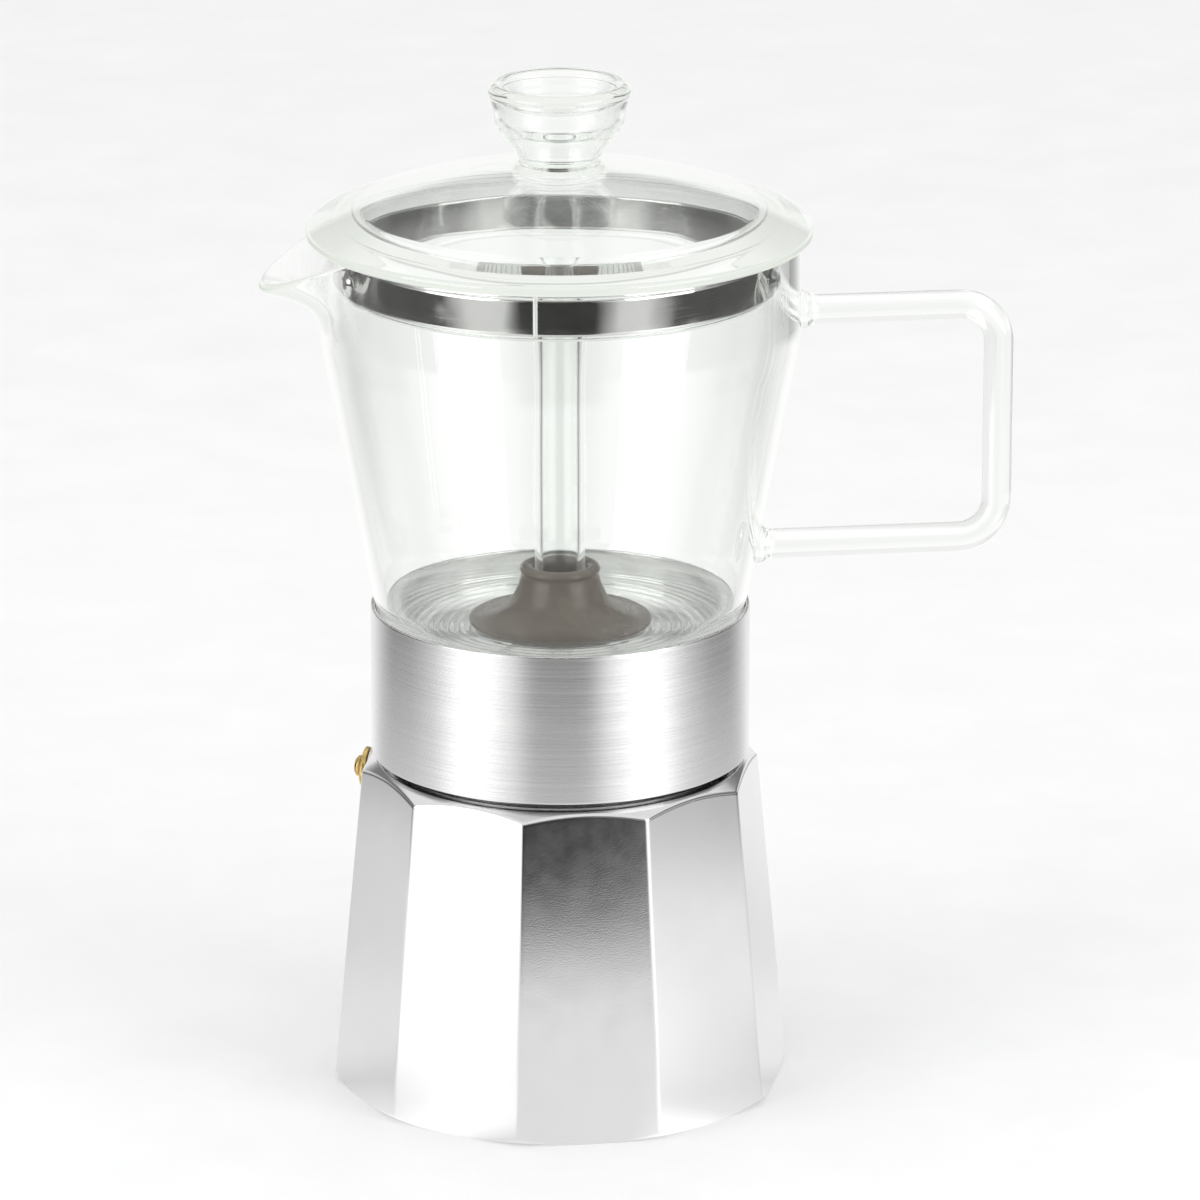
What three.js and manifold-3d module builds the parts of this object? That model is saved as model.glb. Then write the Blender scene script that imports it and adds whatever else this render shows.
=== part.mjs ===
// Stovetop coffee pot with a cast boiler, a screwed collar and a glass upper jug, in millimetres.
// +Z is up. The origin is on the pot's axis at the bottom of the boiler.
// The handle points along +X and the spout along -X.
import * as THREE from 'three';
import { mergeVertices } from 'three/addons/utils/BufferGeometryUtils.js';
import Module from 'manifold-3d';

const wasm = await Module();
wasm.setup();

// ---- Driving dimensions ----

const GAP = 0.3; // clearance between pieces that touch
const FINE = 40; // segments round a large turned piece
const WALL = 48; // segments round the jug, so that corners fall on the handle and the spout
const MEDIUM = 28; // segments round a piece of the size of the knob
const SMALL = 16; // segments round a small turned piece

const boilerSize = {
  sides: 10,
  cornerRadiusAtBase: 53.2,
  cornerRadiusAtTop: 45.9,
  height: 77.5,
  footRadius: 51,
  chamferHeight: 2.7,
  turnedRadius: 54.2,
  shoulderStart: 70.2,
  shoulderRadius: 42.5,
  floor: 4,
  cavityRadiusLow: 46.5,
  cavityRadiusHigh: 40.6,
  cavityShoulder: 71.5,
  neckStart: 75.5,
  neckBore: 35.5,
  neckRadius: 38.9,
  neckTop: 89.5,
};

const thread = {
  pitch: 3,
  turns: 2.25,
  stepsPerTurn: 32,
  fadeTurns: 0.15,
  halfWidthAtRoot: 0.85,
  halfWidthAtCrest: 0.35,
  bury: 0.4,
  maleCrest: 40.2,
  femaleCrest: 39.6,
  maleStart: 80.1,
};

const valveSize = {
  angle: 162,
  height: 71.3,
  flangeRadius: 4.6,
  flangeFace: 2.6,
  shankRadius: 3.6,
  shankEnd: -6.5,
  chamberRadius: 2.7,
  chamberTop: 1,
  pinRadius: 1.05,
  headRadius: 2.4,
  springRadius: 1.9,
  springTurns: 3,
  travel: 1.2,
};

const funnelSize = {
  wall: 1.3,
  radius: 33.2,
  rimRadius: 38.4,
  rimThickness: 0.9,
  shoulder: 66,
  stemTop: 58,
  stemRadius: 5.2,
  stemBore: 4,
  stemBottom: 8,
  screenHeight: 69,
};

const gasketSize = { inner: 28, outer: 39.5, thickness: 3 };
const plateSize = { radius: 33.5, thickness: 0.8 };

// The stack that the collar clamps, from the boiler's neck upwards.
const rimBottom = boilerSize.neckTop + GAP;
const rimTop = rimBottom + funnelSize.rimThickness;
const gasketBottom = rimTop + GAP;
const gasketTop = gasketBottom + gasketSize.thickness;
const plateBottom = gasketTop + GAP;
const plateTop = plateBottom + plateSize.thickness;

const jugSize = {
  wall: 2.6,
  bottom: 107.5,
  holeRadius: 8.2,
  cornerCentre: 31.4,
  cornerRadius: 12,
  radiusLow: 43.4,
  radiusHigh: 54.8,
  coneTop: 177.5,
  top: 201.5,
};

const collarSize = {
  radius: 43.5,
  bottom: 79.2,
  top: 114.2,
  cupRadius: 42.6,
  cupFloor: jugSize.bottom - GAP,
  groove: 0.6,
  boreRadius: 40.9,
  outletRadius: 4.8,
  outletBottom: 101.5,
  outletFlat: 8,
  recessRadius: 12,
  recessDepth: 2.5,
};

const nozzleSize = { bore: 3, radius: 4.5, flangeRadius: 7, flange: 1, top: 116 };

const spoutSize = {
  halfAngle: THREE.MathUtils.degToRad(27),
  tipRadius: 68.9,
  tipHeight: 190.6,
  levels: 4,
};

const handleSize = {
  rodRadius: 3.4,
  upperHeight: 181.5,
  lowerHeight: 126.1,
  gripX: 101.4,
  bendRadius: 9,
  weldRadius: 4.4,
  weldLength: 2.4,
};

const sealSize = {
  lipRadius: 10.4,
  plugRadius: jugSize.holeRadius - GAP,
  skirtRadius: 21,
  neckRadius: 9,
  top: 123.7,
};

const tubeSize = { inner: 4.1, outer: 5.75, top: 192.3 };

const lidSize = {
  domeRadius: 136,
  domeTop: 216.4,
  wall: 2.4,
  holeRadius: 8.2,
  flangeRadius: 57.7,
  flangeHeight: 203.4,
  skirtRadius: 48.6,
  skirtWall: 2.2,
  skirtBottom: 189,
};

const knobSize = { radius: 16.3, neckRadius: 9.2, baseRadius: 11.2, bottom: 216.5, top: 236.4, wall: 1.6 };

const bandSize = {
  inner: lidSize.skirtRadius + GAP,
  outer: 49.7,
  bottom: 190.5,
  height: 8.4,
  slotAngle: -103.5,
  slotWidth: 1,
};

const dimpleSize = { radius: 3.2, centreRadius: 47.7, height: 194.5, angles: [-166, -25] };

// ---- Geometry helpers ----

const point = (radius, height) => new THREE.Vector2(radius, height);

// A closed solid from any three.js geometry, with shared corners merged and empty faces dropped.
function toSolid(geometry) {
  const bare = geometry.clone();
  bare.deleteAttribute('normal');
  bare.deleteAttribute('uv');
  const merged = mergeVertices(bare, 1e-4);
  const corners = merged.index.array;
  const triangles = [];
  for (let i = 0; i < corners.length; i += 3) {
    const [a, b, c] = [corners[i], corners[i + 1], corners[i + 2]];
    if (a !== b && b !== c && c !== a) triangles.push(a, b, c);
  }
  return new wasm.Manifold(new wasm.Mesh({
    numProp: 3,
    vertProperties: new Float32Array(merged.attributes.position.array),
    triVerts: new Uint32Array(triangles),
  }));
}

function toGeometry(solid) {
  const mesh = solid.getMesh();
  const geometry = new THREE.BufferGeometry();
  geometry.setAttribute('position', new THREE.BufferAttribute(mesh.vertProperties, 3));
  geometry.setIndex(new THREE.BufferAttribute(mesh.triVerts, 1));
  geometry.computeVertexNormals();
  return geometry;
}

// A turned piece about +Z. The profile runs anticlockwise in the radius-height plane.
function turnedGeometry(profile, segments) {
  return new THREE.LatheGeometry(profile, segments).rotateX(Math.PI / 2);
}

const turned = (profile, segments) => toSolid(turnedGeometry(profile, segments));

// A turned piece with a hole through it: the profile closes on itself.
const turnedRing = (profile, segments) => turned([...profile, profile[0].clone()], segments);

// A plain washer or disc with a hole, from its two radii and two heights.
function washer(inner, outer, bottom, top, segments) {
  return turnedRing([
    point(inner, bottom), point(outer, bottom), point(outer, top), point(inner, top),
  ], segments);
}

function arc(centre, radius, fromDegrees, toDegrees, steps) {
  const points = [];
  for (let i = 0; i <= steps; i += 1) {
    const angle = THREE.MathUtils.degToRad(fromDegrees + ((toDegrees - fromDegrees) * i) / steps);
    points.push(point(centre.x + radius * Math.cos(angle), centre.y + radius * Math.sin(angle)));
  }
  return points;
}

function circle(radius, steps, centreX = 0, centreY = 0) {
  const points = [];
  for (let i = 0; i < steps; i += 1) {
    const angle = (2 * Math.PI * i) / steps;
    points.push(point(centreX + radius * Math.cos(angle), centreY + radius * Math.sin(angle)));
  }
  return points;
}

// A flat disc pierced by one central hole and rings of six, twelve, eighteen and so on.
function perforatedDisc({ radius, thickness, bottom, holeRadius, ringSpacing, rings }) {
  const shape = new THREE.Shape(circle(radius, MEDIUM));
  shape.holes.push(new THREE.Path(circle(holeRadius, 6)));
  for (let ring = 1; ring <= rings; ring += 1) {
    for (const centre of circle(ring * ringSpacing, 6 * ring)) {
      shape.holes.push(new THREE.Path(circle(holeRadius, 6, centre.x, centre.y)));
    }
  }
  const disc = new THREE.ExtrudeGeometry(shape, { depth: thickness, bevelEnabled: false });
  return toSolid(disc.translate(0, 0, bottom));
}

// One helical thread ridge of trapezoid section that fades into its wall at both ends.
function threadRidge(wallRadius, crestRadius, start) {
  const outward = Math.sign(crestRadius - wallRadius);
  const root = wallRadius - outward * thread.bury;
  const steps = Math.round(thread.turns * thread.stepsPerTurn);
  const fadeSteps = thread.fadeTurns * thread.stepsPerTurn;
  const positions = [];
  for (let i = 0; i <= steps; i += 1) {
    const turn = i / thread.stepsPerTurn;
    const fade = Math.min(1, Math.min(i, steps - i) / fadeSteps);
    const crest = root + outward * 0.1 + (crestRadius - root - outward * 0.1) * fade;
    const height = start + thread.pitch * turn;
    const section = [
      [root, height - thread.halfWidthAtRoot], [crest, height - thread.halfWidthAtCrest],
      [crest, height + thread.halfWidthAtCrest], [root, height + thread.halfWidthAtRoot],
    ];
    if (outward < 0) section.reverse();
    const angle = 2 * Math.PI * turn;
    for (const [radius, z] of section) {
      positions.push(radius * Math.cos(angle), radius * Math.sin(angle), z);
    }
  }
  const faces = [0, 1, 2, 0, 2, 3];
  for (let i = 0; i < steps; i += 1) {
    for (let j = 0; j < 4; j += 1) {
      const here = 4 * i + j;
      const next = 4 * i + ((j + 1) % 4);
      faces.push(here, here + 4, next + 4, here, next + 4, next);
    }
  }
  const last = 4 * steps;
  faces.push(last, last + 2, last + 1, last, last + 3, last + 2);
  const geometry = new THREE.BufferGeometry();
  geometry.setAttribute('position', new THREE.Float32BufferAttribute(positions, 3));
  geometry.setIndex(faces);
  return toSolid(geometry);
}

// ---- Boiler ----

const boilerCornerRadius = (height) => THREE.MathUtils.mapLinear(
  height, 0, boilerSize.height, boilerSize.cornerRadiusAtBase, boilerSize.cornerRadiusAtTop,
);

const facetDistance = (height) => boilerCornerRadius(height) * Math.cos(Math.PI / boilerSize.sides);

const facetTilt = Math.atan((facetDistance(0) - facetDistance(boilerSize.height)) / boilerSize.height);

// The ten-sided cone of the boiler's flat faces, with one corner on +X.
function facetedBody() {
  const size = boilerSize;
  const frustum = new THREE.CylinderGeometry(
    size.cornerRadiusAtTop, size.cornerRadiusAtBase, size.height, size.sides, 1,
  );
  frustum.rotateX(Math.PI / 2).rotateZ(Math.PI / 2).translate(0, 0, size.height / 2);
  return toSolid(frustum);
}

// The round outline that trims the facets to a chamfered foot and a sloping shoulder.
function turnedEnvelope() {
  const size = boilerSize;
  return turned([
    point(0, 0), point(size.footRadius, 0), point(size.turnedRadius, size.chamferHeight),
    point(size.turnedRadius, size.shoulderStart), point(size.shoulderRadius, size.height),
    point(0, size.height),
  ], FINE);
}

function boilerCavity() {
  const size = boilerSize;
  return turned([
    point(0, size.floor), point(size.cavityRadiusLow, size.floor),
    point(size.cavityRadiusHigh, size.cavityShoulder), point(size.neckBore, size.neckStart),
    point(size.neckBore, size.neckTop + 1), point(0, size.neckTop + 1),
  ], FINE);
}

// Places a shape made about +X, with 0 on the facet, where the safety valve goes.
function atValve(object) {
  const angle = THREE.MathUtils.degToRad(valveSize.angle);
  const distance = facetDistance(valveSize.height);
  object.position.set(distance * Math.cos(angle), distance * Math.sin(angle), valveSize.height);
  object.rotation.set(0, -facetTilt, angle, 'ZYX');
  object.updateMatrix();
  return object;
}

function valveHole() {
  const radius = valveSize.shankRadius + GAP;
  const drill = new THREE.CylinderGeometry(radius, radius, 14, SMALL);
  drill.rotateZ(Math.PI / 2).translate(-4, 0, 0);
  return toSolid(drill.applyMatrix4(atValve(new THREE.Object3D()).matrix));
}

function boiler() {
  const size = boilerSize;
  const neck = turned([
    point(0, size.height - 1), point(size.neckRadius, size.height - 1),
    point(size.neckRadius, size.neckTop), point(0, size.neckTop),
  ], FINE);
  return facetedBody()
    .intersect(turnedEnvelope())
    .add(neck)
    .add(threadRidge(size.neckRadius, thread.maleCrest, thread.maleStart))
    .subtract(boilerCavity())
    .subtract(valveHole());
}

// ---- Safety valve, made about +X with 0 on the facet ----

// A turned piece whose axis is +X: the profile's height becomes the distance along the axis.
const turnedAlongX = (profile) => toSolid(
  turnedGeometry([...profile, profile[0].clone()], SMALL).rotateY(Math.PI / 2),
);

const washerAlongX = (inner, outer, start, end) => turnedAlongX([
  point(inner, start), point(outer, start), point(outer, end), point(inner, end),
]);

function valveBody() {
  const size = valveSize;
  const flangeBack = 1.2;
  const pinHole = size.pinRadius + GAP;
  return turnedAlongX([
    point(size.chamberRadius, size.shankEnd), point(size.shankRadius, size.shankEnd),
    point(size.shankRadius, flangeBack), point(size.flangeRadius, flangeBack),
    point(size.flangeRadius, size.flangeFace), point(pinHole, size.flangeFace),
    point(pinHole, size.chamberTop), point(size.chamberRadius, size.chamberTop),
  ]);
}

const valveWasher = () => washerAlongX(
  valveSize.shankRadius + 0.1, valveSize.flangeRadius, GAP, 3 * GAP,
);

const valveRetainer = () => washerAlongX(
  valveSize.pinRadius + GAP, valveSize.chamberRadius - GAP, valveSize.shankEnd, valveSize.shankEnd + 0.7,
);

// The pin carries a piston inside the valve and a domed head outside it.
function valvePin() {
  const size = valveSize;
  const piston = size.shankEnd + 1.1;
  const head = size.flangeFace + GAP;
  return turnedAlongX([
    point(0, size.shankEnd - 0.5), point(size.pinRadius, size.shankEnd - 0.5),
    point(size.pinRadius, piston), point(size.headRadius, piston),
    point(size.headRadius, piston + 0.8), point(size.pinRadius, piston + 0.8),
    point(size.pinRadius, head), point(size.headRadius, head), point(size.headRadius, head + 0.6),
    point(0.7 * size.headRadius, head + 1.2), point(0, head + 1.5),
  ]);
}

class SpringPath extends THREE.Curve {
  getPoint(t, target = new THREE.Vector3()) {
    const size = valveSize;
    const angle = 2 * Math.PI * size.springTurns * t;
    const outerEnd = size.chamberTop - size.travel - 2 * GAP;
    const along = THREE.MathUtils.lerp(size.shankEnd + 2.6, outerEnd, t);
    return target.set(
      along, size.springRadius * Math.cos(angle), size.springRadius * Math.sin(angle),
    );
  }
}

function valveSpring() {
  const wire = new THREE.Shape(circle(GAP, 5));
  return toSolid(new THREE.ExtrudeGeometry(wire, { steps: 32, extrudePath: new SpringPath() }));
}

// ---- Coffee basket, gasket and filter plate ----

function filterFunnel() {
  const size = funnelSize;
  const inside = size.radius - size.wall;
  const ledge = size.screenHeight - GAP;
  return turnedRing([
    point(size.stemBore, size.stemBottom), point(size.stemRadius, size.stemBottom),
    point(size.stemRadius, size.stemTop), point(size.radius, size.shoulder),
    point(size.radius, rimBottom), point(size.rimRadius, rimBottom),
    point(size.rimRadius, rimTop), point(inside, rimTop), point(inside, ledge),
    point(inside - size.wall, ledge), point(inside - size.wall, size.shoulder + 0.6),
    point(size.stemBore, size.stemTop + 1),
  ], FINE);
}

const basketScreen = () => perforatedDisc({
  radius: funnelSize.radius - funnelSize.wall - 0.4,
  thickness: plateSize.thickness,
  bottom: funnelSize.screenHeight,
  holeRadius: 1.3,
  ringSpacing: 9,
  rings: 2,
});

const gasket = () => washer(gasketSize.inner, gasketSize.outer, gasketBottom, gasketTop, FINE);

const filterPlate = () => perforatedDisc({
  radius: plateSize.radius,
  thickness: plateSize.thickness,
  bottom: plateBottom,
  holeRadius: 1.1,
  ringSpacing: 7.5,
  rings: 3,
});

// ---- Collar ----

function collar() {
  const size = collarSize;
  const low = size.cupFloor - size.groove;
  const recessFloor = size.cupFloor - size.recessDepth;
  const plateSeat = plateTop + 2 * GAP;
  const platePocket = plateSize.radius + 0.4;
  const gasketPocket = gasketSize.outer + GAP;
  const body = turnedRing([
    point(size.boreRadius, size.bottom), point(size.radius, size.bottom),
    point(size.radius, size.top), point(size.cupRadius, size.top), point(size.cupRadius, low),
    point(39.6, low), point(39.2, size.cupFloor), point(36.6, size.cupFloor),
    point(36.2, low), point(33.6, low), point(33.2, size.cupFloor),
    point(size.recessRadius, size.cupFloor), point(size.recessRadius, recessFloor),
    point(size.outletRadius, recessFloor), point(size.outletRadius, size.outletBottom),
    point(size.outletFlat, size.outletBottom), point(platePocket, plateSeat),
    point(platePocket, plateBottom), point(gasketPocket, plateBottom),
    point(gasketPocket, gasketBottom + 0.1), point(size.boreRadius, gasketBottom + 0.1),
  ], FINE);
  const start = thread.maleStart + thread.pitch / 2;
  return body.add(threadRidge(size.boreRadius, thread.femaleCrest, start));
}

function outletNozzle() {
  const size = nozzleSize;
  const flangeTop = collarSize.outletBottom - GAP;
  return turnedRing([
    point(size.bore, flangeTop - size.flange), point(size.flangeRadius, flangeTop - size.flange),
    point(size.flangeRadius, flangeTop), point(size.radius, flangeTop),
    point(size.radius, size.top), point(size.bore, size.top),
  ], SMALL);
}

// ---- Glass jug ----

// The outline of the spout along its centre line, at a share t of the way up the rim wall.
function spoutOutline(t) {
  const start = point(jugSize.radiusHigh, jugSize.coneTop);
  const tip = point(spoutSize.tipRadius, spoutSize.tipHeight);
  const bend = new THREE.CubicBezierCurve(
    start, point(start.x, start.y + 11), point(start.x + 5, tip.y - 4), tip,
  );
  return { place: bend.getPoint(t), direction: bend.getTangent(t) };
}

// Pulls the rim wall out and down into a pouring lip that points along -X.
function pullSpout(geometry) {
  const place = geometry.attributes.position;
  const middleOfWall = jugSize.radiusHigh - jugSize.wall / 2;
  for (let i = 0; i < place.count; i += 1) {
    const [x, y, z] = [place.getX(i), place.getY(i), place.getZ(i)];
    const turn = Math.abs(Math.PI - Math.abs(Math.atan2(y, x)));
    if (z > jugSize.coneTop + 0.01 && turn < spoutSize.halfAngle) {
      const t = (z - jugSize.coneTop) / (jugSize.top - jugSize.coneTop);
      const lip = spoutOutline(t);
      const radius = Math.hypot(x, y);
      const inset = radius < middleOfWall ? jugSize.wall : 0;
      const share = Math.cos((Math.PI / 2) * (turn / spoutSize.halfAngle)) ** 2;
      const newRadius = lip.place.x - inset * lip.direction.y;
      const newHeight = lip.place.y + inset * lip.direction.x;
      const scale = (radius + share * (newRadius - radius)) / radius;
      place.setXYZ(i, x * scale, y * scale, z + share * (newHeight - z));
    }
  }
  return geometry;
}

// The jug's outer side from the bottom corner to the rim, grown by an offset.
function jugOutside(offset) {
  const size = jugSize;
  const corner = point(size.cornerCentre, size.bottom + size.cornerRadius);
  return [
    ...arc(corner, size.cornerRadius + offset, -90, 0, 4),
    point(size.radiusHigh + offset, size.coneTop),
  ];
}

// Points up the rim wall, with a level for each step of the spout's bend.
function rimWall(radius) {
  const points = [];
  for (let level = 1; level <= spoutSize.levels; level += 1) {
    const height = THREE.MathUtils.lerp(jugSize.coneTop, jugSize.top, level / spoutSize.levels);
    points.push(point(radius, height));
  }
  return points;
}

function jug() {
  const size = jugSize;
  const profile = [
    point(size.holeRadius, size.bottom),
    ...jugOutside(0),
    ...rimWall(size.radiusHigh),
    ...rimWall(size.radiusHigh - size.wall).reverse(),
    ...jugOutside(-size.wall).reverse(),
    point(size.holeRadius, size.bottom + size.wall),
    point(size.holeRadius, size.bottom),
  ];
  const geometry = turnedGeometry(profile, WALL);
  return toSolid(pullSpout(geometry));
}

// The handle rod's centre line: out, round a bend, down the grip, round a bend and back in.
class HandlePath extends THREE.Curve {
  getPoint(t, target = new THREE.Vector3()) {
    const size = handleSize;
    const straight = size.gripX - size.bendRadius;
    const upperStart = jugSize.radiusHigh - 2;
    const lowerEnd = jugSize.radiusLow - 2;
    const grip = size.upperHeight - size.lowerHeight - 2 * size.bendRadius;
    const bend = (Math.PI / 2) * size.bendRadius;
    const lengths = [straight - upperStart, bend, grip, bend, straight - lowerEnd];
    let along = t * lengths.reduce((sum, length) => sum + length, 0);
    let section = 0;
    while (section < 4 && along > lengths[section]) {
      along -= lengths[section];
      section += 1;
    }
    const angle = along / size.bendRadius;
    const outX = size.bendRadius * Math.sin(angle);
    const downZ = size.bendRadius * (1 - Math.cos(angle));
    if (section === 0) return target.set(upperStart + along, 0, size.upperHeight);
    if (section === 1) return target.set(straight + outX, 0, size.upperHeight - downZ);
    if (section === 2) {
      return target.set(size.gripX, 0, size.upperHeight - size.bendRadius - along);
    }
    if (section === 3) {
      return target.set(
        size.gripX - downZ, 0, size.lowerHeight + size.bendRadius - outX,
      );
    }
    return target.set(straight - along, 0, size.lowerHeight);
  }
}

// The disc of melted glass where the rod meets the jug's wall.
function weld(wallRadius, height) {
  const size = handleSize;
  const disc = new THREE.CylinderGeometry(size.weldRadius, size.weldRadius, size.weldLength + 4, SMALL);
  disc.rotateZ(Math.PI / 2).translate(wallRadius + size.weldLength / 2 - 2, 0, height);
  return toSolid(disc);
}

function jugHandle() {
  const size = handleSize;
  const rod = toSolid(new THREE.ExtrudeGeometry(
    new THREE.Shape(circle(size.rodRadius, 10)), { steps: 40, extrudePath: new HandlePath() },
  ));
  const clearance = turned([
    point(0, jugSize.bottom), ...jugOutside(GAP),
    point(jugSize.radiusHigh + GAP, jugSize.top), point(0, jugSize.top),
  ], WALL);
  const coneSlope = (jugSize.radiusHigh - jugSize.radiusLow)
    / (jugSize.coneTop - jugSize.bottom - jugSize.cornerRadius);
  const lowerWall = jugSize.radiusLow
    + coneSlope * (size.lowerHeight - jugSize.bottom - jugSize.cornerRadius);
  return rod
    .add(weld(jugSize.radiusHigh, size.upperHeight))
    .add(weld(lowerWall, size.lowerHeight))
    .subtract(clearance);
}

// ---- Cone seal and riser tube ----

// A grommet through the jug's floor that flares over it and grips the riser tube in its neck.
function coneSeal() {
  const size = sealSize;
  const bore = nozzleSize.radius + GAP;
  const tubeBore = tubeSize.outer + GAP;
  const floorTop = jugSize.bottom + jugSize.wall;
  return turnedRing([
    point(bore, collarSize.cupFloor - 2.1), point(size.lipRadius, collarSize.cupFloor - 2.1),
    point(size.lipRadius, collarSize.cupFloor - GAP), point(size.plugRadius, collarSize.cupFloor),
    point(size.plugRadius, floorTop + GAP), point(size.skirtRadius, floorTop + GAP),
    point(size.skirtRadius, floorTop + 1), point(15.6, floorTop + 2),
    point(12.3, floorTop + 4.2), point(10.3, floorTop + 7.2), point(size.neckRadius, size.top - 2.6),
    point(size.neckRadius, size.top - 0.8), point(8.2, size.top), point(6.7, size.top),
    point(tubeBore, size.top - 0.8), point(tubeBore, nozzleSize.top + GAP),
    point(bore, nozzleSize.top + GAP),
  ], MEDIUM);
}

const riserTube = () => washer(
  tubeSize.inner, tubeSize.outer, nozzleSize.top + 2 * GAP, tubeSize.top, SMALL,
);

// ---- Lid ----

function lidGlass() {
  const size = lidSize;
  const centre = size.domeTop - size.domeRadius;
  const domeHeight = (radius, inset) => centre
    + Math.sqrt((size.domeRadius - inset) ** 2 - radius ** 2);
  const skirtInner = size.skirtRadius - size.skirtWall;
  const flangeSeat = jugSize.top + GAP;
  const innerRadii = [size.holeRadius, 22, 35, skirtInner];
  const outerRadii = [size.flangeRadius - 1, 46, 34, 21, size.holeRadius];
  return turnedRing([
    ...innerRadii.map((radius) => point(radius, domeHeight(radius, size.wall))),
    point(skirtInner, size.skirtBottom), point(size.skirtRadius, size.skirtBottom),
    point(size.skirtRadius, flangeSeat), point(size.flangeRadius - 1.2, flangeSeat),
    point(size.flangeRadius, size.flangeHeight - 1), point(size.flangeRadius, size.flangeHeight),
    ...outerRadii.map((radius) => point(radius, domeHeight(radius, 0))),
  ], FINE);
}

// A hollow blown knob, open below, with a shallow bowl in its top.
function lidKnob() {
  const size = knobSize;
  const inner = size.neckRadius - size.wall;
  return turned([
    point(0, size.top - 6.2), point(7, size.top - 5.8), point(10.8, size.top - 4.6),
    point(13.4, size.top - 2.6), point(14.7, size.top - 3.6), point(12.9, size.bottom + 11.6),
    point(8.8, size.bottom + 4.6), point(inner, size.bottom + 1.8), point(8, size.bottom),
    point(size.baseRadius, size.bottom), point(size.neckRadius, size.bottom + 1.8),
    point(10.6, size.bottom + 4.9), point(14.7, size.bottom + 10.7),
    point(size.radius, size.top - 1.6), point(15.6, size.top - 0.5), point(13.9, size.top),
    point(12.4, size.top - 0.9), point(10.5, size.top - 3.1), point(7, size.top - 4.2),
    point(0, size.top - 4.6),
  ], MEDIUM);
}

// The split spring ring round the lid's skirt, with two dimples pressed outwards.
function lidBand() {
  const size = bandSize;
  const slot = THREE.MathUtils.degToRad(size.slotAngle);
  const halfSlot = size.slotWidth / 2 / size.outer;
  const outline = [];
  for (let i = 0; i <= FINE; i += 1) {
    const angle = slot + halfSlot + ((2 * Math.PI - 2 * halfSlot) * i) / FINE;
    outline.push(point(Math.cos(angle), Math.sin(angle)));
  }
  const shape = new THREE.Shape([
    ...outline.map((direction) => direction.clone().multiplyScalar(size.outer)),
    ...outline.map((direction) => direction.clone().multiplyScalar(size.inner)).reverse(),
  ]);
  const strip = new THREE.ExtrudeGeometry(shape, { depth: size.height, bevelEnabled: false });
  const inside = turned([
    point(0, size.bottom - 5), point(size.inner, size.bottom - 5),
    point(size.inner, size.bottom + size.height + 5), point(0, size.bottom + size.height + 5),
  ], FINE);
  let band = toSolid(strip.translate(0, 0, size.bottom));
  for (const degrees of dimpleSize.angles) {
    const angle = THREE.MathUtils.degToRad(degrees);
    const dimple = new THREE.SphereGeometry(dimpleSize.radius, 12, 8);
    dimple.translate(
      dimpleSize.centreRadius * Math.cos(angle), dimpleSize.centreRadius * Math.sin(angle),
      dimpleSize.height,
    );
    band = band.add(toSolid(dimple).subtract(inside));
  }
  return band;
}

// ---- Materials ----

const finish = (color, roughness, metalness) => new THREE.MeshStandardMaterial({
  color, roughness, metalness,
});

const castAluminium = finish(0xc9cbcb, 0.32, 1);
const turnedAluminium = finish(0xd4d6d6, 0.25, 1);
const pressedAluminium = finish(0xb9bbbb, 0.4, 1);
const brass = finish(0xb59347, 0.3, 1);
const springSteel = finish(0xd8d8d6, 0.12, 1);
const silicone = finish(0x6f6354, 0.45, 0);
const gasketRubber = finish(0xe6e3da, 0.6, 0);
const glass = finish(0xeef3ee, 0.03, 0);
glass.transparent = true;
glass.opacity = 0.35;

// ---- Assembly ----

const pot = new THREE.Group();
const valve = atValve(new THREE.Group());
pot.add(valve);

function addPiece(parent, name, solid, material) {
  const mesh = new THREE.Mesh(toGeometry(solid), material);
  mesh.name = name;
  parent.add(mesh);
}

addPiece(pot, 'boiler', boiler(), castAluminium);
addPiece(valve, 'valve_body', valveBody(), brass);
addPiece(valve, 'valve_washer', valveWasher(), gasketRubber);
addPiece(valve, 'valve_retainer', valveRetainer(), brass);
addPiece(valve, 'valve_pin', valvePin(), brass);
addPiece(valve, 'valve_spring', valveSpring(), springSteel);
addPiece(pot, 'filter_funnel', filterFunnel(), pressedAluminium);
addPiece(pot, 'basket_screen', basketScreen(), pressedAluminium);
addPiece(pot, 'gasket', gasket(), gasketRubber);
addPiece(pot, 'filter_plate', filterPlate(), pressedAluminium);
addPiece(pot, 'collar', collar(), turnedAluminium);
addPiece(pot, 'outlet_nozzle', outletNozzle(), turnedAluminium);
addPiece(pot, 'jug', jug(), glass);
addPiece(pot, 'jug_handle', jugHandle(), glass);
addPiece(pot, 'cone_seal', coneSeal(), silicone);
addPiece(pot, 'riser_tube', riserTube(), glass);
addPiece(pot, 'lid_glass', lidGlass(), glass);
addPiece(pot, 'lid_knob', lidKnob(), glass);
addPiece(pot, 'lid_band', lidBand(), springSteel);

export default pot;
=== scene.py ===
"""Stovetop coffee pot: faceted cast boiler, turned collar, and a glass jug, handle, riser tube and lid.

Shapes are written in millimetres on the frame's axes and scaled to metres when a mesh is made.
The pot's axis is +Z, its handle points along +X and its spout along -X.
"""

import math

import bmesh
import bpy
from mathutils import Matrix, Vector, noise


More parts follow.
